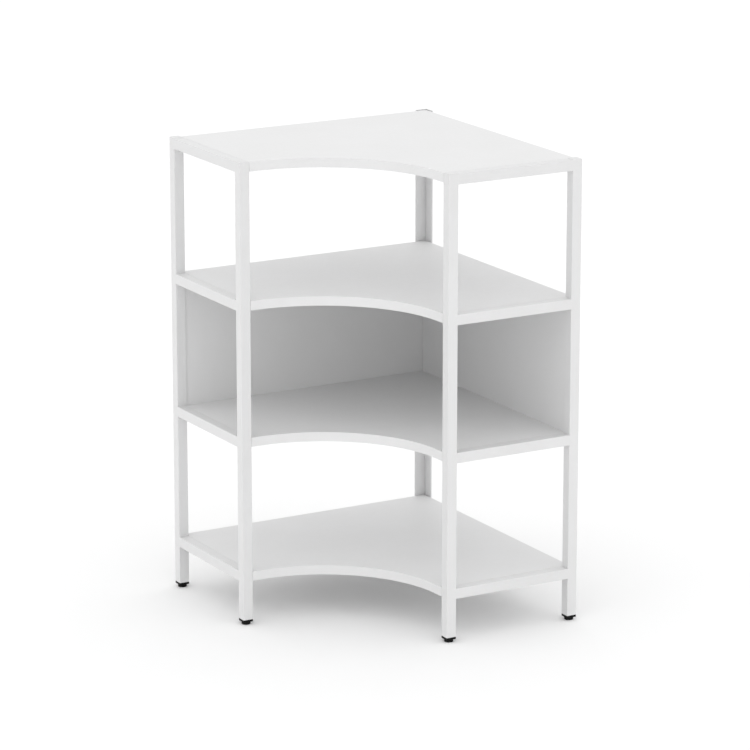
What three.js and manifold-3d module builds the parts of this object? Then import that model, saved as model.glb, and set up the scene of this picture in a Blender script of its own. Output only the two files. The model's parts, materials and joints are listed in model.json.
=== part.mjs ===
// Corner shelf unit: four quarter-round-fronted shelves carried by two tube end frames
// and an angle post in the room corner, with two back panels behind one compartment.
// Millimetres, +Z up. The origin is on the floor, at the middle of the square footprint.
// The room corner is at +X +Y. The left wing runs from it towards -X, the right wing towards -Y.

import * as THREE from 'three';
import { mergeVertices } from 'three/addons/utils/BufferGeometryUtils.js';
import Module from 'manifold-3d';

const wasm = await Module();
wasm.setup();

// Overall sizes
const span = 792;              // each wing, from the room corner to the end frame's outer face
const depth = 400;             // end frame, from its back face to its front face
const bottomShelfTop = 145.5;  // floor to the top of the bottom shelf
const shelfPitch = 367.5;      // one shelf top to the next
const levelNames = ['bottom', 'lower', 'upper', 'top'];
const lowerLevel = levelNames.indexOf('lower');
const upperLevel = levelNames.indexOf('upper');

// Fits
const fitGap = 0.3;            // between pieces that slip together
const cutOverrun = 2;          // a cutting tool runs this far past the face that it opens

// Square tube of the end frames
const tubeWidth = 28;
const tubeWall = 1.5;
const tubeCornerRadius = 1;
const tubeInnerRadius = 0.5;
const weldBite = 1;            // a welded plate reaches this far into the steel that carries it

// Shelves
const boardThickness = 25;
const boardBackGap = 4;        // behind the shelf, to the inside of the corner post
const bandThickness = 2;
const frontStraight = 20;      // straight run of the front edge beside each end frame

// Ledges under the shelf ends
const ledgeThickness = 3;
const ledgeReach = 30;
const ledgeEndGap = 20;        // from each post to the end of the ledge
const ledgeScrewInset = 60;    // from the end of the ledge to its screw

// Corner post: a steel angle with a plate under each shelf
const angleLeg = 35;
const angleThickness = 3;
const plateBeyondScrew = 28;   // from the corner screw to the tips of its plate
const plateTip = 14;           // straight edge left at each end of the plate's slant
const screwHeadRoom = 4;       // from the face of a back panel to the corner screw's head
const footNutRadius = 9;
const footNutHeight = 12;

// Back panels
const panelThickness = 18;
const panelScrewInset = 130;   // from each end of a panel to its screw

// Post caps
const capFlange = 2;
const capPlug = 12;

// Feet
const padRadius = 12;
const padHeight = 8;
const padEdge = 1.2;           // chamfer round the bottom of the pad
const padCrown = 1.6;          // height of the slope on top of the pad
const padNeckRadius = 8;
const footFlange = 6;
const footPlug = 26;
const stemRadius = 4;
const stemLength = 25;         // above the pad
const stemChamfer = 1;

// Screws
const shankRadius = 2.2;
const headRadius = 4.5;
const headHeight = 2.4;
const headCrownRadius = 2.8;
const screwTip = 2.5;
const boardScrewGrip = 15;     // thread inside the board
const panelScrewGrip = 25;     // thread inside the panel
const pilotDepthGap = 1;       // hole left beyond the screw's tip

// Facets
const frontArcSteps = 44;
const tubeCornerSteps = 3;
const roundSides = 24;
const screwSides = 12;

// Sizes that follow from those above
const corner = span / 2;
const railHeight = boardThickness + ledgeThickness;
const frontRadius = span - tubeWidth - frontStraight - depth;
const boardBack = angleThickness + boardBackGap;
const boardEnd = span - tubeWidth - fitGap;
const panelFront = boardBack + panelThickness;
const cornerScrewInset = panelFront + screwHeadRoom + headRadius;
const plateReach = cornerScrewInset + plateBeyondScrew;
const tubeBottom = padHeight + footFlange;
const topLevel = bottomShelfTop + (levelNames.length - 1) * shelfPitch;
const unitTop = topLevel + capFlange;
const holeRadius = shankRadius + fitGap;
const boreRadius = stemRadius + fitGap;
const ledgeStart = tubeWidth + ledgeEndGap;
const ledgeFinish = depth - tubeWidth - ledgeEndGap;
const ledgeMiddle = span - tubeWidth - ledgeReach / 2;

const paintedSteel = new THREE.MeshStandardMaterial({ color: 0xebebec, roughness: 0.42, metalness: 0 });
const whiteBoard = new THREE.MeshStandardMaterial({ color: 0xf0f0f0, roughness: 0.5, metalness: 0 });
const whiteBand = new THREE.MeshStandardMaterial({ color: 0xeeeeee, roughness: 0.45, metalness: 0 });
const whitePlastic = new THREE.MeshStandardMaterial({ color: 0xe9e9ea, roughness: 0.5, metalness: 0 });
const blackPlastic = new THREE.MeshStandardMaterial({ color: 0x1d1d1f, roughness: 0.55, metalness: 0 });
const zincSteel = new THREE.MeshStandardMaterial({ color: 0xb8bbbf, roughness: 0.35, metalness: 1 });

const unit = new THREE.Group();

// Solids and booleans

function toSolid(geometry) {
  const bare = geometry.clone();
  bare.deleteAttribute('normal');
  bare.deleteAttribute('uv');
  const merged = mergeVertices(bare);
  const vertProperties = new Float32Array(merged.attributes.position.array);
  const triVerts = new Uint32Array(merged.index.array);
  return new wasm.Manifold(new wasm.Mesh({ numProp: 3, vertProperties, triVerts }));
}

function toGeometry(solid) {
  const mesh = solid.getMesh();
  const geometry = new THREE.BufferGeometry();
  geometry.setAttribute('position', new THREE.BufferAttribute(new Float32Array(mesh.vertProperties), 3));
  geometry.setIndex(new THREE.BufferAttribute(new Uint32Array(mesh.triVerts), 1));
  return geometry;
}

// Joins the first list of geometries, cuts away the second, and gives one geometry back.
function shapeFrom(joined, removed = []) {
  let solid = toSolid(joined[0]);
  for (const extra of joined.slice(1)) {
    solid = solid.add(toSolid(extra));
  }
  for (const tool of removed) {
    solid = solid.subtract(toSolid(tool));
  }
  const geometry = toGeometry(solid);
  geometry.computeVertexNormals();
  return geometry;
}

function addPiece(name, geometry, material) {
  const mesh = new THREE.Mesh(geometry, material);
  mesh.name = name;
  unit.add(mesh);
}

// Places on the plan. "along" runs from the room corner along a wing, "out" away from its wall.

function planPoint(wing, along, out) {
  if (wing === 'left') {
    return new THREE.Vector2(corner - along, corner - out);
  }
  return new THREE.Vector2(corner - out, corner - along);
}

function shelfTop(level) {
  return bottomShelfTop + level * shelfPitch;
}

function undersideOfBoard(level) {
  return shelfTop(level) - boardThickness;
}

function undersideOfRail(level) {
  return shelfTop(level) - railHeight;
}

// Basic forms

function roundedRectangle(width, height, radius) {
  const x = width / 2;
  const y = height / 2;
  const shape = new THREE.Shape();
  shape.absarc(x - radius, y - radius, radius, 0, Math.PI / 2);
  shape.absarc(radius - x, y - radius, radius, Math.PI / 2, Math.PI);
  shape.absarc(radius - x, radius - y, radius, Math.PI, Math.PI * 1.5);
  shape.absarc(x - radius, radius - y, radius, Math.PI * 1.5, Math.PI * 2);
  shape.closePath();
  return shape;
}

function tubeOutline(width, height) {
  const shape = roundedRectangle(width, height, tubeCornerRadius);
  shape.holes.push(roundedRectangle(width - 2 * tubeWall, height - 2 * tubeWall, tubeInnerRadius));
  return shape;
}

// A plan outline raised from one height to another
function upright(shape, bottom, top) {
  const settings = { depth: top - bottom, bevelEnabled: false, curveSegments: tubeCornerSteps };
  const geometry = new THREE.ExtrudeGeometry(shape, settings);
  geometry.translate(0, 0, bottom);
  return geometry;
}

function uprightAt(place, shape, bottom, top) {
  const geometry = upright(shape, bottom, top);
  geometry.translate(place.x, place.y, 0);
  return geometry;
}

function planRectangle(wing, alongFrom, alongTo, outFrom, outTo) {
  const from = planPoint(wing, alongFrom, outFrom);
  const to = planPoint(wing, alongTo, outTo);
  const points = [from, new THREE.Vector2(to.x, from.y), to, new THREE.Vector2(from.x, to.y)];
  return new THREE.Shape(points);
}

function roundBar(place, radius, bottom, top, sides) {
  const geometry = new THREE.CylinderGeometry(radius, radius, top - bottom, sides);
  geometry.rotateX(Math.PI / 2);
  geometry.translate(place.x, place.y, (top + bottom) / 2);
  return geometry;
}

// A turned piece whose profile lists radius and height, from the axis to the axis
function turned(place, profile, sides) {
  const geometry = new THREE.LatheGeometry(profile, sides);
  geometry.rotateX(Math.PI / 2);
  geometry.translate(place.x, place.y, 0);
  return geometry;
}

// Places of the posts and feet

const postPlaces = {
  left_back: planPoint('left', span - tubeWidth / 2, tubeWidth / 2),
  left_front: planPoint('left', span - tubeWidth / 2, depth - tubeWidth / 2),
  right_front: planPoint('right', span - tubeWidth / 2, depth - tubeWidth / 2),
  right_back: planPoint('right', span - tubeWidth / 2, tubeWidth / 2),
};
const cornerFootPlace = planPoint('left', angleLeg / 2, angleLeg / 2);

// End frames

function addPosts() {
  for (const [name, place] of Object.entries(postPlaces)) {
    const tube = uprightAt(place, tubeOutline(tubeWidth, tubeWidth), tubeBottom, topLevel);
    addPiece(`post_${name}`, tube, paintedSteel);
  }
}

// The outline of what slips into the end of a post
function plugOutline() {
  const width = tubeWidth - 2 * (tubeWall + fitGap);
  return roundedRectangle(width, width, tubeCornerRadius);
}

function addPostCaps() {
  const flange = roundedRectangle(tubeWidth, tubeWidth, tubeCornerRadius);
  for (const [name, place] of Object.entries(postPlaces)) {
    const cap = shapeFrom([
      uprightAt(place, flange, topLevel, unitTop),
      uprightAt(place, plugOutline(), topLevel - capPlug, topLevel + capFlange / 2),
    ]);
    addPiece(`post_cap_${name}`, cap, whitePlastic);
  }
}

function ledgeScrewPlaces(wing) {
  return {
    back: planPoint(wing, ledgeMiddle, ledgeStart + ledgeScrewInset),
    front: planPoint(wing, ledgeMiddle, ledgeFinish - ledgeScrewInset),
  };
}

// The rail's section lies across the wing and upwards, and its length runs from post to post.
function railTube(wing, level) {
  const length = depth - 2 * tubeWidth;
  const section = tubeOutline(tubeWidth, railHeight);
  const settings = { depth: length, bevelEnabled: false, curveSegments: tubeCornerSteps };
  const geometry = new THREE.ExtrudeGeometry(section, settings);
  geometry.translate(0, 0, -length / 2);
  const inward = wing === 'left' ? new THREE.Vector3(1, 0, 0) : new THREE.Vector3(0, 1, 0);
  const up = new THREE.Vector3(0, 0, 1);
  const lengthwise = new THREE.Vector3().crossVectors(inward, up);
  geometry.applyMatrix4(new THREE.Matrix4().makeBasis(inward, up, lengthwise));
  const middle = planPoint(wing, span - tubeWidth / 2, depth / 2);
  geometry.translate(middle.x, middle.y, shelfTop(level) - railHeight / 2);
  return geometry;
}

function endRail(wing, level) {
  const bottom = undersideOfRail(level);
  const inside = span - tubeWidth;
  const ledgeShape = planRectangle(wing, inside - ledgeReach, inside + weldBite, ledgeStart, ledgeFinish);
  const ledge = upright(ledgeShape, bottom, undersideOfBoard(level));
  const holes = Object.values(ledgeScrewPlaces(wing)).map((place) =>
    roundBar(place, holeRadius, bottom - cutOverrun, bottom + ledgeThickness + cutOverrun, screwSides));
  return shapeFrom([railTube(wing, level), ledge], holes);
}

function addEndRails() {
  for (const wing of ['left', 'right']) {
    levelNames.forEach((levelName, level) => {
      addPiece(`end_rail_${wing}_${levelName}`, endRail(wing, level), paintedSteel);
    });
  }
}

// Shelves

// The concave front edge, from the left end to the right end, set back by an offset
function frontLine(offset) {
  const centre = depth + frontRadius;
  const radius = frontRadius + offset;
  const points = [planPoint('left', boardEnd, depth - offset)];
  for (let step = 0; step <= frontArcSteps; step += 1) {
    const angle = (step / frontArcSteps) * Math.PI / 2;
    const along = centre - radius * Math.sin(angle);
    const out = centre - radius * Math.cos(angle);
    points.push(planPoint('left', along, out));
  }
  points.push(planPoint('right', boardEnd, depth - offset));
  return points;
}

function cornerScrewPlace() {
  return planPoint('left', cornerScrewInset, cornerScrewInset);
}

function panelScrewPlaces(wing) {
  const middle = boardBack + panelThickness / 2;
  return {
    inner: planPoint(wing, boardBack + panelScrewInset, middle),
    outer: planPoint(wing, boardEnd - panelScrewInset, middle),
  };
}

function bothWings(placesOf) {
  return [...Object.values(placesOf('left')), ...Object.values(placesOf('right'))];
}

function shelfBoard(level) {
  const bottom = undersideOfBoard(level);
  const back = [
    planPoint('right', boardEnd, boardBack),
    planPoint('left', boardBack, boardBack),
    planPoint('left', boardEnd, boardBack),
  ];
  const board = upright(new THREE.Shape([...frontLine(bandThickness), ...back]), bottom, shelfTop(level));
  const pilotTop = bottom + boardScrewGrip + pilotDepthGap;
  const holes = [cornerScrewPlace(), ...bothWings(ledgeScrewPlaces)].map((place) =>
    roundBar(place, holeRadius, bottom - cutOverrun, pilotTop, screwSides));
  if (level === lowerLevel) {
    const throughTop = shelfTop(level) + cutOverrun;
    for (const place of bothWings(panelScrewPlaces)) {
      holes.push(roundBar(place, holeRadius, bottom - cutOverrun, throughTop, screwSides));
    }
  }
  return shapeFrom([board], holes);
}

function edgeBand(level) {
  const outline = new THREE.Shape([...frontLine(0), ...frontLine(bandThickness).reverse()]);
  return upright(outline, undersideOfBoard(level), shelfTop(level));
}

function addShelves() {
  levelNames.forEach((levelName, level) => {
    addPiece(`shelf_${levelName}`, shelfBoard(level), whiteBoard);
    addPiece(`edge_band_${levelName}`, edgeBand(level), whiteBand);
  });
}

// Back panels

// The left panel reaches the corner and the right one butts against its face.
function backPanel(wing) {
  const start = wing === 'left' ? boardBack : panelFront + fitGap;
  const bottom = shelfTop(lowerLevel);
  const panel = upright(
    planRectangle(wing, start, boardEnd, boardBack, panelFront),
    bottom,
    undersideOfRail(upperLevel) - fitGap,
  );
  const holeTop = bottom + panelScrewGrip + pilotDepthGap;
  const holes = Object.values(panelScrewPlaces(wing)).map((place) =>
    roundBar(place, holeRadius, bottom - cutOverrun, holeTop, screwSides));
  return shapeFrom([panel], holes);
}

function addBackPanels() {
  for (const wing of ['left', 'right']) {
    addPiece(`back_panel_${wing}`, backPanel(wing), whiteBoard);
  }
}

// Corner post

function angleSection() {
  return new THREE.Shape([
    planPoint('left', 0, 0),
    planPoint('left', angleLeg, 0),
    planPoint('left', angleLeg, angleThickness),
    planPoint('left', angleThickness, angleThickness),
    planPoint('right', angleLeg, angleThickness),
    planPoint('right', angleLeg, 0),
  ]);
}

function cornerPlate(level) {
  const start = angleThickness - weldBite;
  const outline = new THREE.Shape([
    planPoint('left', start, start),
    planPoint('left', plateReach, start),
    planPoint('left', plateReach, start + plateTip),
    planPoint('right', plateReach, start + plateTip),
    planPoint('right', plateReach, start),
  ]);
  return upright(outline, undersideOfRail(level), undersideOfBoard(level));
}

function cornerPost() {
  const plates = levelNames.map((levelName, level) => cornerPlate(level));
  const start = angleThickness - weldBite;
  const footPlate = upright(planRectangle('left', start, angleLeg, start, angleLeg), padHeight, tubeBottom);
  const nutTop = tubeBottom + footNutHeight;
  const footNut = roundBar(cornerFootPlace, footNutRadius, tubeBottom - weldBite, nutTop, roundSides);
  const holes = levelNames.map((levelName, level) =>
    roundBar(
      cornerScrewPlace(),
      holeRadius,
      undersideOfRail(level) - cutOverrun,
      undersideOfBoard(level) + cutOverrun,
      screwSides,
    ));
  holes.push(roundBar(cornerFootPlace, boreRadius, padHeight - cutOverrun, nutTop + cutOverrun, roundSides));
  return shapeFrom([upright(angleSection(), padHeight, unitTop), ...plates, footPlate, footNut], holes);
}

function addCornerPost() {
  addPiece('corner_post', cornerPost(), paintedSteel);
}

// Feet

function footInsert(place) {
  const flange = roundedRectangle(tubeWidth, tubeWidth, tubeCornerRadius);
  const plugTop = tubeBottom + footPlug;
  return shapeFrom(
    [
      uprightAt(place, flange, padHeight, tubeBottom),
      uprightAt(place, plugOutline(), padHeight + footFlange / 2, plugTop),
    ],
    [roundBar(place, boreRadius, padHeight - cutOverrun, plugTop + cutOverrun, roundSides)],
  );
}

// Pad and threaded stem in one, screwed fully in: the pad nearly meets the foot insert.
function glide(place) {
  const padTop = padHeight - fitGap;
  const stemTop = padTop + stemLength;
  return turned(place, [
    new THREE.Vector2(0, 0),
    new THREE.Vector2(padRadius - padEdge, 0),
    new THREE.Vector2(padRadius, padEdge),
    new THREE.Vector2(padRadius, padTop - padCrown),
    new THREE.Vector2(padNeckRadius, padTop),
    new THREE.Vector2(stemRadius, padTop),
    new THREE.Vector2(stemRadius, stemTop - stemChamfer),
    new THREE.Vector2(stemRadius - stemChamfer, stemTop),
    new THREE.Vector2(0, stemTop),
  ], roundSides);
}

function addFeet() {
  for (const [name, place] of Object.entries(postPlaces)) {
    addPiece(`foot_insert_${name}`, footInsert(place), blackPlastic);
    addPiece(`glide_${name}`, glide(place), blackPlastic);
  }
  addPiece('glide_corner', glide(cornerFootPlace), blackPlastic);
}

// Screws

// A pan head screw pushed up from below, its head against the face at seat
function screwFromBelow(place, seat, shankLength) {
  const top = seat + shankLength;
  return turned(place, [
    new THREE.Vector2(0, seat - headHeight),
    new THREE.Vector2(headCrownRadius, seat - headHeight),
    new THREE.Vector2(headRadius, seat - headHeight / 2),
    new THREE.Vector2(headRadius, seat),
    new THREE.Vector2(shankRadius, seat),
    new THREE.Vector2(shankRadius, top - screwTip),
    new THREE.Vector2(0, top),
  ], screwSides);
}

function addLedgeScrews() {
  for (const wing of ['left', 'right']) {
    levelNames.forEach((levelName, level) => {
      for (const [side, place] of Object.entries(ledgeScrewPlaces(wing))) {
        const screw = screwFromBelow(place, undersideOfRail(level), ledgeThickness + boardScrewGrip);
        addPiece(`ledge_screw_${wing}_${levelName}_${side}`, screw, zincSteel);
      }
    });
  }
}

function addCornerScrews() {
  levelNames.forEach((levelName, level) => {
    const length = ledgeThickness + boardScrewGrip;
    const screw = screwFromBelow(cornerScrewPlace(), undersideOfRail(level), length);
    addPiece(`corner_screw_${levelName}`, screw, zincSteel);
  });
}

function addPanelScrews() {
  for (const wing of ['left', 'right']) {
    for (const [side, place] of Object.entries(panelScrewPlaces(wing))) {
      const screw = screwFromBelow(place, undersideOfBoard(lowerLevel), boardThickness + panelScrewGrip);
      addPiece(`panel_screw_${wing}_${side}`, screw, zincSteel);
    }
  }
}

addPosts();
addPostCaps();
addEndRails();
addShelves();
addBackPanels();
addCornerPost();
addFeet();
addLedgeScrews();
addCornerScrews();
addPanelScrews();

export default unit;
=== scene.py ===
"""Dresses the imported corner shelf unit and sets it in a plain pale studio.

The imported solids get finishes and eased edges. Finer pieces of the same size replace the glides,
screws and post caps, and welds are added where the steel pieces meet.

Metres, +Z up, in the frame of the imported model: the room corner is at +X +Y, the floor at zero.
"""

import json
import math

import bmesh
import bpy
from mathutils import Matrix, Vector


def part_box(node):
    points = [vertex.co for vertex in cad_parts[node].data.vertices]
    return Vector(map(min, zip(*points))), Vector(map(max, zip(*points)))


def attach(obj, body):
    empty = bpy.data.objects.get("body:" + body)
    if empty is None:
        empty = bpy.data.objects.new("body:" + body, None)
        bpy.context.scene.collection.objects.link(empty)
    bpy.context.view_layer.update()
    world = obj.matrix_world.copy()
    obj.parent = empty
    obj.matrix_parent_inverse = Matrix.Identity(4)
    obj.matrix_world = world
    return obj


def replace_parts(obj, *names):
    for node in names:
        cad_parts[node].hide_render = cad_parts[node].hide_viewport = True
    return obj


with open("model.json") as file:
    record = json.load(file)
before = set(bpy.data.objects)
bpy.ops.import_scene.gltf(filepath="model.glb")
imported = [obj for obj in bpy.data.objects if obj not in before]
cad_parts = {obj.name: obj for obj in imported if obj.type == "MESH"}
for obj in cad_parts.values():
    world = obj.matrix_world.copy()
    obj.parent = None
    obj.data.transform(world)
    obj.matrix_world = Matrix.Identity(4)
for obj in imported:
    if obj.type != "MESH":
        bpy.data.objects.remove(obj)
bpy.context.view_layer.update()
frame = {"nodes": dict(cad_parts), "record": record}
nodes = frame["nodes"]
MM = 0.001
RIGHT = Vector((1.0, 0.0, 0.0))
BACK = Vector((0.0, 1.0, 0.0))
UP = Vector((0.0, 0.0, 1.0))
WHITE = (1.0, 1.0, 1.0, 1.0)

# Studio: a light tent, dimmer near the floor and a little stronger in front
SKY_ZENITH = 1.23
SKY_HORIZON = 0.58
SKY_RAMP = 0.45
SKY_FRONT = 0.13
FRONT = Vector((-0.50, -0.87, 0.0))
SKY_SEEN = 1.0
FLOOR_HALF = 40.0
FLOOR_SEEN = 0.90
FLOOR_BOUNCE = 0.95
FLOOR_ROUGHNESS = 1.0
FLOOR_GLOSS = 0.0

# Camera, from the photograph: it stands in front, to the left, and looks down a little
CAMERA_PLACE = Vector((-4.8494, -8.5004, 3.2091))
CAMERA_HEADING = 0.5190
CAMERA_DIP = 0.2573
CAMERA_LENS = 182.84
SENSOR_WIDTH = 36.0
VIEW_DEPTH = 4 * FLOOR_HALF

# Textures: the part of a noise's range that is used, and noises left even or drawn out level
NOISE_START = 0.3
NOISE_END = 0.7
EVEN = (1.0, 1.0, 1.0)
DRAWN = (0.25, 0.25, 1.0)

# How much the black feet shine: less than the shader's own 0.5
BLACK_GLOSS = 0.1

# Painted shade on the upward faces of the steel and the caps, darkened in colour as the light
# falls: what it takes, and where it starts
UPWARD_SHADE_SHARE = 0.055
UPWARD_SHADE_SLOPE = 0.5

# Eased edges
TUBE_EDGE = 0.2 * MM
BOARD_EDGE = 0.2 * MM
PANEL_EDGE = 0.1 * MM
BAND_EDGE = 0.4 * MM
FOOT_EDGE = 0.3 * MM
EDGE_STEPS = 3
JOIN_DISTANCE = 0.002 * MM
SHARP_ANGLE = math.radians(42.0)

# Levelling glides: a moulded pad on a threaded steel stem
PAD_RADIUS = 12.0 * MM
PAD_EDGE = 1.2 * MM
PAD_SHOULDER = 6.1 * MM
PAD_SHOULDER_EDGE = 0.8 * MM
PAD_NECK = 8.0 * MM
PAD_HEIGHT = 7.7 * MM
PAD_HOLLOW = 0.6 * MM
PAD_HOLLOW_RADIUS = 8.6 * MM
STEM_CREST = 4.0 * MM
STEM_ROOT = 3.35 * MM
STEM_PITCH = 1.25 * MM
STEM_SUNK = 2.0 * MM
STEM_CHAMFER = 0.65 * MM

# Pan head screws with a cross recess
HEAD_RADIUS = 4.5 * MM
HEAD_CROWN = 2.8 * MM
HEAD_HEIGHT = 2.4 * MM
HEAD_RIM = 0.9 * MM
SHANK_CREST = 2.2 * MM
SHANK_ROOT = 1.5 * MM
SHANK_PITCH = 2.0 * MM
SHANK_TIP = 2.5 * MM
RECESS_ARM = 2.1 * MM
RECESS_HALF = 0.45 * MM
RECESS_DEPTH = 1.5 * MM
RECESS_FLOOR_ARM = 0.8 * MM
RECESS_FLOOR_HALF = 0.25 * MM
SCREW_SWING = math.radians(37.0)
LENGTH_DIGITS = 5

# Threads: points along one pitch, and how far each rises from root to crest
METRIC_SHARES = ((0.0, 0.0), (0.25, 0.0), (0.5625, 1.0), (0.6875, 1.0))
SCREW_SHARES = ((0.0, 0.0), (0.5, 0.0), (0.7, 1.0), (0.78, 1.0))

# Post caps: a plug, and a flange rounded over on top
CAP_PLUG_INSET = 1.8 * MM
CAP_HEM = 0.15 * MM
CAP_ROUND_IN = 2.6 * MM
CAP_ROUND_UP = 1.7 * MM

# Welds: rippled fillets underneath, and bands dressed flush round the ends of the rails
LEVELS = ("bottom", "lower", "upper", "top")
BEAD_PITCH = 1.3 * MM
BEAD_SINK = 0.3 * MM
BEAD_STEPS = 4
BEAD_RIPPLE = 0.12
BEAD_END = 0.6
POST_BEAD = 1.4 * MM
PLATE_BEAD = 2.2 * MM
NUT_BEAD = 1.8 * MM
BEAD_INSET = 3.0 * MM
BAND_HALF = 1.5 * MM
BAND_SHIFT = 0.9 * MM
BAND_RISE = 0.07 * MM
BAND_SINK = 0.8 * MM
BAND_STEPS = 4
TUBE_CORNER = 1.0 * MM
CORNER_STEPS = 6
ANGLE_LEG = 35.0 * MM
ANGLE_WALL = 3.0 * MM
FOOT_PLATE_TOP = 14.0 * MM
FOOT_NUT_RADIUS = 9.0 * MM

# Facets of turned pieces
TURN_STEPS = 48
THREAD_STEPS = 24
ROUND_STEPS = 5
DOUBLE_DISTANCE = 0.001 * MM

# Ways that a rounding faces in a profile, in degrees
FACING_DOWN = -90
FACING_OUT = 0
FACING_UP = 90
PAD_SHOULDER_END = 65

# Sockets that share a name, by number
MIX_FACTOR = 0
MIX_COLOUR_A = 6
MIX_COLOUR_B = 7
MIX_COLOUR_RESULT = 2
MIX_SHADER_A = 1
MIX_SHADER_B = 2


# Materials

class Finish:
    """A node material under way: a principled shader and the textures that feed it."""

    def __init__(self, name, roughness, metallic=0.0):
        self.material = bpy.data.materials.new(name)
        self.material.use_nodes = True
        self.tree = self.material.node_tree
        self.shader = self.tree.nodes["Principled BSDF"]
        self.shader.inputs["Roughness"].default_value = roughness
        self.shader.inputs["Metallic"].default_value = metallic
        self.place = self.tree.nodes.new("ShaderNodeTexCoord").outputs["Object"]
        self.height = None

    def link(self, source, target):
        self.tree.links.new(source, target)

    def noise(self, size, detail, stretch=EVEN):
        """Noise whose blobs are about size metres across, stretched along the axes."""
        mapping = self.tree.nodes.new("ShaderNodeMapping")
        mapping.inputs["Scale"].default_value = stretch
        self.link(self.place, mapping.inputs["Vector"])
        texture = self.tree.nodes.new("ShaderNodeTexNoise")
        texture.inputs["Scale"].default_value = 1.0 / size
        texture.inputs["Detail"].default_value = detail
        self.link(mapping.outputs["Vector"], texture.inputs["Vector"])
        return texture.outputs["Fac"]

    def mottle(self, size, detail, low, high):
        """Lets the colour wander between low and high."""
        value = self.noise(size, detail)
        node = self.tree.nodes.new("ShaderNodeValToRGB")
        start, end = node.color_ramp.elements
        start.position, start.color = NOISE_START, (*low, 1.0)
        end.position, end.color = NOISE_END, (*high, 1.0)
        self.link(value, node.inputs["Fac"])
        self.link(node.outputs["Color"], self.shader.inputs["Base Color"])

    def vary_roughness(self, size, detail, low, high):
        """Lets the roughness wander between low and high."""
        value = self.noise(size, detail)
        node = self.tree.nodes.new("ShaderNodeMapRange")
        node.inputs["From Min"].default_value = NOISE_START
        node.inputs["From Max"].default_value = NOISE_END
        node.inputs["To Min"].default_value = low
        node.inputs["To Max"].default_value = high
        self.link(value, node.inputs["Value"])
        self.link(node.outputs["Result"], self.shader.inputs["Roughness"])

    def paint_upward_shade(self):
        """Paints shade into the colour of what faces upwards, so the tops render darker as in
        shade.
        """
        surface = self.tree.nodes.new("ShaderNodeNewGeometry")
        facing = self.tree.nodes.new("ShaderNodeSeparateXYZ")
        painted_shade = self.tree.nodes.new("ShaderNodeMapRange")
        painted_shade.inputs["From Min"].default_value = UPWARD_SHADE_SLOPE
        painted_shade.inputs["To Min"].default_value = 1.0
        painted_shade.inputs["To Max"].default_value = 1.0 - UPWARD_SHADE_SHARE
        shaded_colour = self.tree.nodes.new("ShaderNodeVectorMath")
        shaded_colour.operation = "SCALE"
        self.link(surface.outputs["Normal"], facing.inputs["Vector"])
        self.link(facing.outputs["Z"], painted_shade.inputs["Value"])
        base = self.shader.inputs["Base Color"]
        self.link(base.links[0].from_socket, shaded_colour.inputs["Vector"])
        self.link(painted_shade.outputs["Result"], shaded_colour.inputs["Scale"])
        self.link(shaded_colour.outputs["Vector"], base)

    def grain(self, size, detail, depth, strength, stretch=EVEN):
        """Adds a layer of bumps over those already there."""
        value = self.noise(size, detail, stretch)
        node = self.tree.nodes.new("ShaderNodeBump")
        node.inputs["Distance"].default_value = depth
        node.inputs["Strength"].default_value = strength
        self.link(value, node.inputs["Height"])
        if self.height is not None:
            self.link(self.height, node.inputs["Normal"])
        self.height = node.outputs["Normal"]
        self.link(self.height, self.shader.inputs["Normal"])


def grey(level, tint=0.0):
    """A near-neutral linear colour, a little bluer with tint."""
    return (level, level, level * (1.0 + tint))


def painted_steel():
    """White powder coat: satin, with fine orange peel and faint unevenness."""
    finish = Finish("powder_coat_white", roughness=0.42)
    finish.mottle(size=0.11, detail=3.0, low=grey(0.699), high=grey(0.717, tint=0.004))
    # painted shade: the upward faces of the steel are darkened in colour
    finish.paint_upward_shade()
    finish.vary_roughness(size=0.02, detail=2.0, low=0.38, high=0.47)
    finish.grain(size=1.6 * MM, detail=2.0, depth=0.06 * MM, strength=0.5)
    finish.grain(size=0.35 * MM, detail=1.0, depth=0.01 * MM, strength=0.5)
    return finish.material


def faced_board():
    """White melamine facing: matt, with a fine pearl grain and faint mottling."""
    finish = Finish("melamine_white", roughness=0.5)
    finish.mottle(size=0.16, detail=4.0, low=grey(0.705), high=grey(0.721, tint=0.003))
    finish.vary_roughness(size=0.012, detail=3.0, low=0.46, high=0.56)
    finish.grain(size=0.9 * MM, detail=3.0, depth=0.05 * MM, strength=0.45)
    return finish.material


def edge_band():
    """White plastic edging, a little glossier than the board, drawn lengthwise."""
    finish = Finish("edging_white", roughness=0.42)
    finish.mottle(size=0.09, detail=2.0, low=grey(0.729), high=grey(0.743, tint=0.003))
    finish.vary_roughness(size=0.008, detail=2.0, low=0.38, high=0.46)
    finish.grain(size=0.7 * MM, detail=2.0, depth=0.03 * MM, strength=0.4, stretch=DRAWN)
    return finish.material


def white_plastic():
    """Moulded white caps with a light spark-eroded grain."""
    finish = Finish("moulded_white", roughness=0.5)
    finish.mottle(size=0.02, detail=2.0, low=grey(0.705), high=grey(0.722))
    # painted shade: the upward faces of the caps are darkened in colour
    finish.paint_upward_shade()
    finish.vary_roughness(size=0.004, detail=2.0, low=0.45, high=0.55)
    finish.grain(size=0.5 * MM, detail=2.0, depth=0.03 * MM, strength=0.5)
    return finish.material


def black_plastic():
    """Moulded black feet: grained, and greyer in patches."""
    finish = Finish("moulded_black", roughness=0.5)
    finish.shader.inputs["Specular IOR Level"].default_value = BLACK_GLOSS
    finish.mottle(size=0.006, detail=4.0, low=grey(0.005), high=grey(0.011, tint=0.03))
    finish.vary_roughness(size=0.003, detail=2.0, low=0.42, high=0.6)
    finish.grain(size=0.45 * MM, detail=2.0, depth=0.04 * MM, strength=0.6)
    return finish.material


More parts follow.
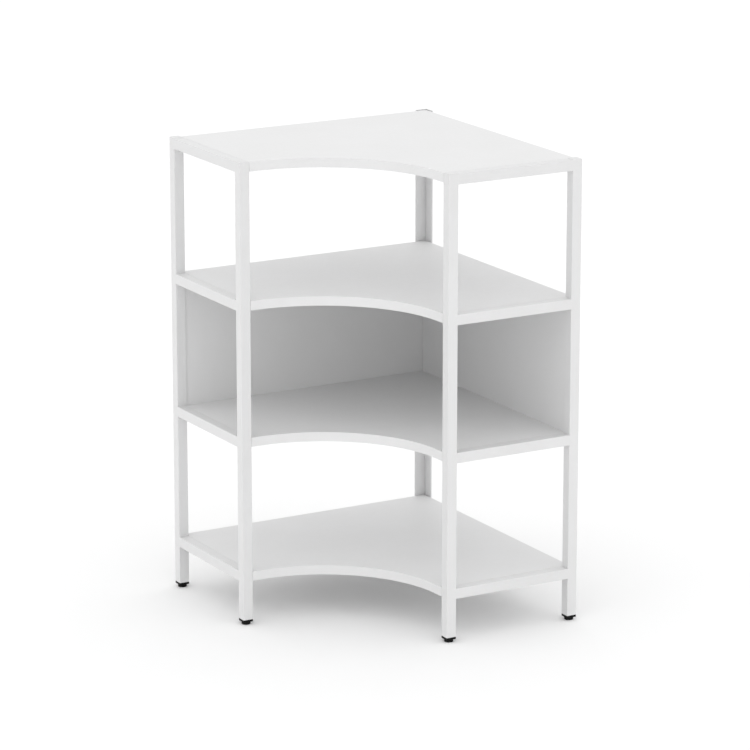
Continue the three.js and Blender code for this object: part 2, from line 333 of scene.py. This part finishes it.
def zinc_steel():
    """Bright zinc plate on screws and stems, with cloudy spangle."""
    finish = Finish("zinc_plate", roughness=0.35, metallic=1.0)
    finish.mottle(size=0.0025, detail=3.0, low=grey(0.52, tint=0.02), high=grey(0.66, tint=0.03))
    finish.vary_roughness(size=0.0012, detail=2.0, low=0.28, high=0.45)
    finish.grain(size=0.3 * MM, detail=2.0, depth=0.01 * MM, strength=0.5)
    return finish.material


FINISHES = {
    "painted_steel": painted_steel(),
    "white_board": faced_board(),
    "white_edge_band": edge_band(),
    "white_plastic": white_plastic(),
    "black_plastic": black_plastic(),
    "zinc_steel": zinc_steel(),
}
slot_of = {part["node"]: part["material_slot"] for part in frame["record"]["subparts"]}


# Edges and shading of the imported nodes

def smooth_by_angle():
    """A node group that shades faces smooth and keeps edges above the sharp angle crisp."""
    group = bpy.data.node_groups.new("smooth_by_angle", "GeometryNodeTree")
    for way in ("INPUT", "OUTPUT"):
        group.interface.new_socket("Geometry", in_out=way, socket_type="NodeSocketGeometry")
    start = group.nodes.new("NodeGroupInput")
    end = group.nodes.new("NodeGroupOutput")
    faces = group.nodes.new("GeometryNodeSetShadeSmooth")
    faces.domain = "FACE"
    edges = group.nodes.new("GeometryNodeSetShadeSmooth")
    edges.domain = "EDGE"
    edges.inputs["Shade Smooth"].default_value = False
    angle = group.nodes.new("GeometryNodeInputMeshEdgeAngle")
    sharp = group.nodes.new("FunctionNodeCompare")
    sharp.operation = "GREATER_THAN"
    sharp.inputs["B"].default_value = SHARP_ANGLE
    group.links.new(start.outputs["Geometry"], faces.inputs["Geometry"])
    group.links.new(faces.outputs["Geometry"], edges.inputs["Geometry"])
    group.links.new(angle.outputs["Unsigned Angle"], sharp.inputs["A"])
    group.links.new(sharp.outputs["Result"], edges.inputs["Selection"])
    group.links.new(edges.outputs["Geometry"], end.inputs["Geometry"])
    return group


SMOOTH_GROUP = smooth_by_angle()


def ease_edges(piece, width):
    """Joins the facets, rounds the sharp edges and shades the curved stretches smooth."""
    joined = piece.modifiers.new("join_facets", "WELD")
    joined.merge_threshold = JOIN_DISTANCE
    bevel = piece.modifiers.new("eased_edges", "BEVEL")
    bevel.width = width
    bevel.segments = EDGE_STEPS
    bevel.limit_method = "ANGLE"
    bevel.angle_limit = SHARP_ANGLE
    bevel.use_clamp_overlap = True
    smooth = piece.modifiers.new("smooth", "NODES")
    smooth.node_group = SMOOTH_GROUP
    weighted = piece.modifiers.new("flat_faces_flat", "WEIGHTED_NORMAL")
    weighted.keep_sharp = True


# By the start of the node's name. The nodes that finer pieces replace aren't here.
EDGES = {
    "post_left": TUBE_EDGE,
    "post_right": TUBE_EDGE,
    "end_rail": TUBE_EDGE,
    "corner_post": TUBE_EDGE,
    "shelf": BOARD_EDGE,
    "back_panel": PANEL_EDGE,
    "edge_band": BAND_EDGE,
    "foot_insert": FOOT_EDGE,
}


def dress_nodes():
    """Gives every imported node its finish, and its eased edges where it stays in view."""
    for name, piece in nodes.items():
        piece.data.materials.clear()
        piece.data.materials.append(FINISHES[slot_of[name]])
        for start, width in EDGES.items():
            if name.startswith(start):
                ease_edges(piece, width)


# Forms

def around(radius, height, step, steps):
    """A point on a circle about the axis."""
    turned = math.tau * step / steps
    return (radius * math.cos(turned), radius * math.sin(turned), height)


def rounded(centre, radii, start, end):
    """Points of a rounding in a profile, from one way that it faces to another."""
    points = []
    for step in range(ROUND_STEPS + 1):
        angle = math.radians(start + (end - start) * step / ROUND_STEPS)
        across = centre[0] + radii[0] * math.cos(angle)
        points.append((across, centre[1] + radii[1] * math.sin(angle)))
    return points


def rounded_square(half):
    """Points and outward directions round the tube's section, as across and up."""
    flat = half - TUBE_CORNER
    loop = []
    for quarter, centre in enumerate(((flat, flat), (-flat, flat), (-flat, -flat), (flat, -flat))):
        for step in range(CORNER_STEPS + 1):
            angle = math.radians(90 * (quarter + step / CORNER_STEPS))
            out = (math.cos(angle), math.sin(angle))
            point = (centre[0] + TUBE_CORNER * out[0], centre[1] + TUBE_CORNER * out[1])
            loop.append((point, out))
    return loop


def turn(form, profile, steps):
    """Turns a profile of radius and height about the axis. A radius of zero closes it."""
    rings = []
    for radius, height in profile:
        count = 1 if radius == 0.0 else steps
        rings.append([form.verts.new(around(radius, height, step, steps)) for step in range(count)])
    for low, high in zip(rings, rings[1:]):
        for step in range(steps):
            corners = []
            for ring, place in ((low, step), (low, step + 1), (high, step + 1), (high, step)):
                corner = ring[place % len(ring)]
                if corner not in corners:
                    corners.append(corner)
            form.faces.new(corners)


def thread(form, bottom, top, root, crest, pitch, shares, steps):
    """Cuts a helical thread that runs out into a ring of the root radius at both ends."""
    columns = []
    turns = math.ceil((top - bottom) / pitch) + 1
    for step in range(steps):
        column = []
        for number in range(-1, turns):
            for share, rise in shares:
                height = bottom + (number + share + step / steps) * pitch
                radius = root + (crest - root) * rise
                if not bottom < height < top:
                    height = min(max(height, bottom), top)
                    radius = root
                column.append(form.verts.new(around(radius, height, step, steps)))
        columns.append(column)
    for step in range(steps):
        here = columns[step]
        there = columns[(step + 1) % steps]
        shift = len(shares) if step + 1 == steps else 0
        for place in range(len(here) - 1):
            low = min(place + shift, len(there) - 1)
            high = min(place + shift + 1, len(there) - 1)
            corners = [here[place], there[low], here[place + 1]]
            if high != low:
                corners.insert(2, there[high])
            form.faces.new(corners)


def sweep(form, sections, closed=False):
    """Joins sections, each a ring of points, into one skin. Open ends are capped."""
    rings = [[form.verts.new(point) for point in section] for section in sections]
    pairs = list(zip(rings, rings[1:]))
    if closed:
        pairs.append((rings[-1], rings[0]))
    for here, there in pairs:
        for place in range(len(here)):
            ahead = (place + 1) % len(here)
            form.faces.new((here[place], here[ahead], there[ahead], there[place]))
    if not closed:
        form.faces.new(rings[0])
        form.faces.new(rings[-1])


def finished_mesh(form, name, slot):
    """Closes a form's doubled points, shades it by angle and gives it a finish."""
    bmesh.ops.remove_doubles(form, verts=form.verts, dist=DOUBLE_DISTANCE)
    bmesh.ops.dissolve_degenerate(form, edges=form.edges, dist=DOUBLE_DISTANCE)
    bmesh.ops.recalc_face_normals(form, faces=form.faces)
    mesh = bpy.data.meshes.new(name)
    form.to_mesh(mesh)
    form.free()
    mesh.polygons.foreach_set("use_smooth", [True] * len(mesh.polygons))
    mesh.set_sharp_from_angle(angle=SHARP_ANGLE)
    mesh.materials.append(FINISHES[slot])
    return mesh


def add_piece(name, mesh, place, body):
    """Puts a mesh at a place as a piece that rides on a body."""
    piece = bpy.data.objects.new(name, mesh)
    bpy.context.scene.collection.objects.link(piece)
    piece.location = place
    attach(piece, body)
    return piece


def over_middle(low, high, height):
    """The point at a height over the middle of a box."""
    return Vector(((low.x + high.x) / 2, (low.y + high.y) / 2, height))


# Glides

def pad_mesh():
    """The pad: hollow underneath, with rounded edges and a sloped shoulder."""
    foot = (PAD_RADIUS - PAD_EDGE, PAD_EDGE)
    shoulder = (PAD_RADIUS - PAD_SHOULDER_EDGE, PAD_SHOULDER - PAD_SHOULDER_EDGE)
    profile = [
        (0.0, PAD_HOLLOW),
        (PAD_HOLLOW_RADIUS - PAD_HOLLOW, PAD_HOLLOW),
        (PAD_HOLLOW_RADIUS, 0.0),
        *rounded(foot, (PAD_EDGE, PAD_EDGE), FACING_DOWN, FACING_OUT),
        *rounded(shoulder, (PAD_SHOULDER_EDGE, PAD_SHOULDER_EDGE), FACING_OUT, PAD_SHOULDER_END),
        (PAD_NECK, PAD_HEIGHT),
        (STEM_CREST, PAD_HEIGHT),
        (0.0, PAD_HEIGHT),
    ]
    form = bmesh.new()
    turn(form, profile, TURN_STEPS)
    return finished_mesh(form, "glide_pad", "black_plastic")


def stem_mesh(height):
    """The threaded stem, from inside the pad to a chamfered end."""
    bottom = PAD_HEIGHT - STEM_SUNK
    top = height - STEM_CHAMFER
    form = bmesh.new()
    turn(form, [(0.0, bottom), (STEM_ROOT, bottom)], THREAD_STEPS)
    thread(form, bottom, top, STEM_ROOT, STEM_CREST, STEM_PITCH, METRIC_SHARES, THREAD_STEPS)
    end = [(STEM_ROOT, top), (STEM_ROOT - STEM_CHAMFER, height), (0.0, height)]
    turn(form, end, THREAD_STEPS)
    return finished_mesh(form, "glide_stem", "zinc_steel")


def add_glides():
    """A pad and a stem for each packed glide, riding on its body."""
    names = sorted(name for name in nodes if name.startswith("glide_"))
    stem_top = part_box(names[0])[1].z
    pad = pad_mesh()
    stem = stem_mesh(stem_top)
    for name in names:
        low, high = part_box(name)
        place = over_middle(low, high, 0.0)
        piece = add_piece(f"{name}_pad", pad, place, name)
        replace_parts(piece, name)
        add_piece(f"{name}_stem", stem, place, name)


# Screws

def cross_outline(form, arm, half, height):
    """A cross of four arms, as a closed loop of points and edges."""
    corners = [(arm, -half), (arm, half), (half, half)]
    points = []
    for quarter in range(4):
        swing = math.tau * quarter / 4
        for x, y in corners:
            across = x * math.cos(swing) - y * math.sin(swing)
            along = x * math.sin(swing) + y * math.cos(swing)
            points.append(form.verts.new((across, along, height)))
    return points, closed_edges(form, points)


def closed_edges(form, points):
    """The edges of a loop of points."""
    pairs = zip(points, points[1:] + points[:1])
    return [form.edges.new(pair) for pair in pairs]


def recessed_crown(form, height):
    """The flat end of the head, with a tapered cross sunk into it."""
    steps = range(THREAD_STEPS)
    rim = [form.verts.new(around(HEAD_CROWN, height, step, THREAD_STEPS)) for step in steps]
    rim_edges = closed_edges(form, rim)
    mouth, mouth_edges = cross_outline(form, RECESS_ARM, RECESS_HALF, height)
    bmesh.ops.triangle_fill(form, use_beauty=True, edges=rim_edges + mouth_edges)
    depth = height + RECESS_DEPTH
    floor, floor_edges = cross_outline(form, RECESS_FLOOR_ARM, RECESS_FLOOR_HALF, depth)
    bmesh.ops.triangle_fill(form, use_beauty=True, edges=floor_edges)
    for place in range(len(mouth)):
        ahead = (place + 1) % len(mouth)
        form.faces.new((mouth[place], mouth[ahead], floor[ahead], floor[place]))


def screw_mesh(length):
    """A pan head screw, head down: its seat is at zero and its point at length."""
    centre = (HEAD_CROWN, -HEAD_RIM)
    radii = (HEAD_RADIUS - HEAD_CROWN, HEAD_HEIGHT - HEAD_RIM)
    crown = rounded(centre, radii, FACING_DOWN, FACING_OUT)
    tip = length - SHANK_TIP
    form = bmesh.new()
    recessed_crown(form, -HEAD_HEIGHT)
    turn(form, crown + [(HEAD_RADIUS, 0.0), (SHANK_ROOT, 0.0)], THREAD_STEPS)
    thread(form, 0.0, tip, SHANK_ROOT, SHANK_CREST, SHANK_PITCH, SCREW_SHARES, THREAD_STEPS)
    turn(form, [(SHANK_ROOT, tip), (0.0, length)], THREAD_STEPS)
    return finished_mesh(form, "screw", "zinc_steel")


def add_screws():
    """A threaded screw for each packed one, its cross turned a little from one to the next."""
    meshes = {}
    names = sorted(name for name in nodes if "_screw_" in name)
    for number, name in enumerate(names):
        low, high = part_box(name)
        length = round(high.z - low.z - HEAD_HEIGHT, LENGTH_DIGITS)
        if length not in meshes:
            meshes[length] = screw_mesh(length)
        place = over_middle(low, high, low.z + HEAD_HEIGHT)
        piece = add_piece(f"{name}_threaded", meshes[length], place, "frame")
        piece.rotation_euler.z = number * SCREW_SWING
        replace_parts(piece, name)


# Post caps

def cap_mesh(name, seat):
    """A moulded cap, with the top of its post at zero height."""
    low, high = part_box(name)
    half = (high.x - low.x) / 2
    plug = half - CAP_PLUG_INSET
    inner = half - CAP_ROUND_IN
    bottom = low.z - seat
    top = high.z - seat
    radii = (CAP_ROUND_IN, CAP_ROUND_UP)
    profile = [
        (plug - CAP_HEM, bottom),
        (plug, bottom + CAP_HEM),
        (plug, 0.0),
        (half - CAP_HEM, 0.0),
        (half, CAP_HEM),
        *rounded((inner, top - CAP_ROUND_UP), radii, FACING_OUT, FACING_UP),
        (inner - CAP_HEM, top),
    ]
    sections = []
    for size, height in profile:
        sections.append([(*point, height) for point, _ in rounded_square(size)])
    form = bmesh.new()
    sweep(form, sections)
    return finished_mesh(form, "post_cap", "white_plastic")


def add_caps():
    """A moulded cap for each packed one."""
    names = sorted(name for name in nodes if name.startswith("post_cap_"))
    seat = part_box("post_left_back")[1].z
    mesh = cap_mesh(names[0], seat)
    for name in names:
        low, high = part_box(name)
        place = over_middle(low, high, seat)
        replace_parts(add_piece(f"{name}_moulded", mesh, place, "frame"), name)


# Welds

def fillet_section(root, one, other, size):
    """A bead's outline in the corner between two faces, sunk a little into both."""
    points = [root - (one + other) * BEAD_SINK, root + one * size - other * BEAD_SINK]
    for step in range(BEAD_STEPS + 1):
        angle = math.pi / 2 * step / BEAD_STEPS
        points.append(root + (one * math.cos(angle) + other * math.sin(angle)) * size)
    points.append(root + other * size - one * BEAD_SINK)
    return points


def ripple(step):
    return 1.0 - BEAD_RIPPLE * (step % 2)


def fillet(form, start, end, one, other, size):
    """A straight rippled bead from start to end, in the corner between two faces."""
    count = round((end - start).length / BEAD_PITCH)
    sections = []
    for step in range(count + 1):
        taper = BEAD_END if step in (0, count) else ripple(step)
        sections.append(fillet_section(start.lerp(end, step / count), one, other, size * taper))
    sweep(form, sections)


def ring_fillet(form, centre, radius, size):
    """A rippled bead round the foot of an upright bar. Its even count lets the ripples meet."""
    count = 2 * round(math.tau * radius / BEAD_PITCH / 2)
    sections = []
    for step in range(count):
        angle = math.tau * step / count
        out = RIGHT * math.cos(angle) + BACK * math.sin(angle)
        sections.append(fillet_section(centre + out * radius, out, UP, size * ripple(step)))
    sweep(form, sections, closed=True)


def dressed_band(form, centre, across, towards_post, half):
    """A weld round the end of a rail, ground nearly flush, which fills the groove to the post."""
    middle = centre + towards_post * BAND_SHIFT
    sections = []
    for (sideways, upwards), (out_sideways, out_upwards) in rounded_square(half):
        place = middle + across * sideways + UP * upwards
        out = across * out_sideways + UP * out_upwards
        section = [place - towards_post * BAND_HALF - out * BAND_SINK]
        for step in range(BAND_STEPS + 1):
            share = 2.0 * step / BAND_STEPS - 1.0
            rise = out * BAND_RISE * (1.0 - share * share)
            section.append(place + towards_post * BAND_HALF * share + rise)
        section.append(place + towards_post * BAND_HALF - out * BAND_SINK)
        sections.append(section)
    sweep(form, sections, closed=True)


def rail_weld_mesh(wing):
    """The welds at both ends of a rail, with the rail's underside at zero height."""
    low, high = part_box(f"end_rail_{wing}_bottom")
    post_low, post_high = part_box(f"post_{wing}_front")
    half = (post_high.x - post_low.x) / 2
    across, along = (RIGHT, BACK) if wing == "left" else (BACK, RIGHT)
    outer = low.dot(across)
    form = bmesh.new()
    for end, way in ((low.dot(along), -1.0), (high.dot(along), 1.0)):
        corner = across * outer + along * end
        dressed_band(form, corner + across * half + UP * half, across, along * way, half)
        start = corner + across * BEAD_INSET
        stop = corner + across * (2 * half - BEAD_INSET)
        fillet(form, start, stop, -UP, along * -way, POST_BEAD)
    return finished_mesh(form, f"rail_welds_{wing}", "painted_steel")


def corner_weld_mesh():
    """Fillets under each corner plate, on the foot plate and round the foot nut."""
    room_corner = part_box("corner_post")[1]
    glide_low, glide_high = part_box("glide_corner")
    inner = Vector((room_corner.x - ANGLE_WALL, room_corner.y - ANGLE_WALL, 0.0))
    reach = ANGLE_LEG - ANGLE_WALL - PLATE_BEAD
    form = bmesh.new()
    seams = [(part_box(f"end_rail_left_{level}")[0].z, -UP) for level in LEVELS]
    seams.append((FOOT_PLATE_TOP, UP))
    for height, facing in seams:
        root = inner + UP * height
        for leg, wall in ((RIGHT, BACK), (BACK, RIGHT)):
            start = root - leg * PLATE_BEAD
            fillet(form, start, root - leg * reach, -wall, facing, PLATE_BEAD)
    middle = over_middle(glide_low, glide_high, FOOT_PLATE_TOP)
    ring_fillet(form, middle, FOOT_NUT_RADIUS, NUT_BEAD)
    return finished_mesh(form, "corner_welds", "painted_steel")


def add_welds():
    """Welds for each end rail and for the corner post."""
    for wing in ("left", "right"):
        mesh = rail_weld_mesh(wing)
        for level in LEVELS:
            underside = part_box(f"end_rail_{wing}_{level}")[0].z
            add_piece(f"welds_{wing}_{level}", mesh, UP * underside, "frame")
    add_piece("welds_corner", corner_weld_mesh(), Vector(), "frame")


# Studio

def studio_floor():
    """A pale floor, white to the camera where no shadow falls. Its bounce is a little lighter."""
    mesh = bpy.data.meshes.new("floor")
    corners = [(-1, -1), (1, -1), (1, 1), (-1, 1)]
    points = [(x * FLOOR_HALF, y * FLOOR_HALF, 0.0) for x, y in corners]
    mesh.from_pydata(points, [], [(0, 1, 2, 3)])
    floor = bpy.data.objects.new("floor", mesh)
    bpy.context.scene.collection.objects.link(floor)
    material = bpy.data.materials.new("floor")
    material.use_nodes = True
    tree = material.node_tree
    shader = tree.nodes["Principled BSDF"]
    shader.inputs["Roughness"].default_value = FLOOR_ROUGHNESS
    shader.inputs["Specular IOR Level"].default_value = FLOOR_GLOSS
    path = tree.nodes.new("ShaderNodeLightPath")
    shade = tree.nodes.new("ShaderNodeMix")
    shade.data_type = "RGBA"
    shade.inputs[MIX_COLOUR_A].default_value = (*grey(FLOOR_BOUNCE), 1.0)
    shade.inputs[MIX_COLOUR_B].default_value = (*grey(FLOOR_SEEN), 1.0)
    tree.links.new(path.outputs["Is Camera Ray"], shade.inputs[MIX_FACTOR])
    tree.links.new(shade.outputs[MIX_COLOUR_RESULT], shader.inputs["Base Color"])
    mesh.materials.append(material)


def combine(tree, operation, first, second):
    """A Math node fed by two sockets."""
    node = tree.nodes.new("ShaderNodeMath")
    node.operation = operation
    for place, source in enumerate((first, second)):
        tree.links.new(source, node.inputs[place])
    return node.outputs["Value"]


def studio_light():
    """A soft white sky on all sides. The camera, gloss and glass see it as plain white."""
    world = bpy.data.worlds.new("studio")
    bpy.context.scene.world = world
    world.use_nodes = True
    tree = world.node_tree
    tent = tree.nodes["Background"]
    tent.inputs["Color"].default_value = WHITE
    way = tree.nodes.new("ShaderNodeTexCoord")
    height = tree.nodes.new("ShaderNodeSeparateXYZ")
    upwards = tree.nodes.new("ShaderNodeMapRange")
    upwards.inputs["From Max"].default_value = SKY_RAMP
    upwards.inputs["To Min"].default_value = SKY_HORIZON
    upwards.inputs["To Max"].default_value = SKY_ZENITH
    forwards = tree.nodes.new("ShaderNodeVectorMath")
    forwards.operation = "DOT_PRODUCT"
    forwards.inputs[1].default_value = FRONT * SKY_FRONT
    tree.links.new(way.outputs["Generated"], height.inputs["Vector"])
    tree.links.new(height.outputs["Z"], upwards.inputs["Value"])
    tree.links.new(way.outputs["Generated"], forwards.inputs[0])
    strength = combine(tree, "ADD", upwards.outputs["Result"], forwards.outputs["Value"])
    tree.links.new(strength, tent.inputs["Strength"])
    backdrop = tree.nodes.new("ShaderNodeBackground")
    backdrop.inputs["Color"].default_value = WHITE
    backdrop.inputs["Strength"].default_value = SKY_SEEN
    path = tree.nodes.new("ShaderNodeLightPath").outputs
    seen = combine(tree, "MAXIMUM", path["Is Camera Ray"], path["Is Glossy Ray"])
    seen = combine(tree, "MAXIMUM", seen, path["Is Transmission Ray"])
    mix = tree.nodes.new("ShaderNodeMixShader")
    tree.links.new(seen, mix.inputs["Fac"])
    tree.links.new(tent.outputs["Background"], mix.inputs[MIX_SHADER_A])
    tree.links.new(backdrop.outputs["Background"], mix.inputs[MIX_SHADER_B])
    tree.links.new(mix.outputs["Shader"], tree.nodes["World Output"].inputs["Surface"])


def camera():
    """The photograph's viewpoint, looking along the heading and down by the dip."""
    data = bpy.data.cameras.new("camera")
    data.lens = CAMERA_LENS
    data.sensor_width = SENSOR_WIDTH
    data.clip_end = VIEW_DEPTH
    eye = bpy.data.objects.new("camera", data)
    bpy.context.scene.collection.objects.link(eye)
    ahead = Vector((
        math.sin(CAMERA_HEADING) * math.cos(CAMERA_DIP),
        math.cos(CAMERA_HEADING) * math.cos(CAMERA_DIP),
        -math.sin(CAMERA_DIP),
    ))
    eye.location = CAMERA_PLACE
    eye.rotation_mode = "QUATERNION"
    eye.rotation_quaternion = ahead.to_track_quat("-Z", "Y")
    bpy.context.scene.camera = eye


dress_nodes()
add_glides()
add_screws()
add_caps()
add_welds()
studio_floor()
studio_light()
camera()
bpy.context.scene.view_settings.view_transform = "Standard"
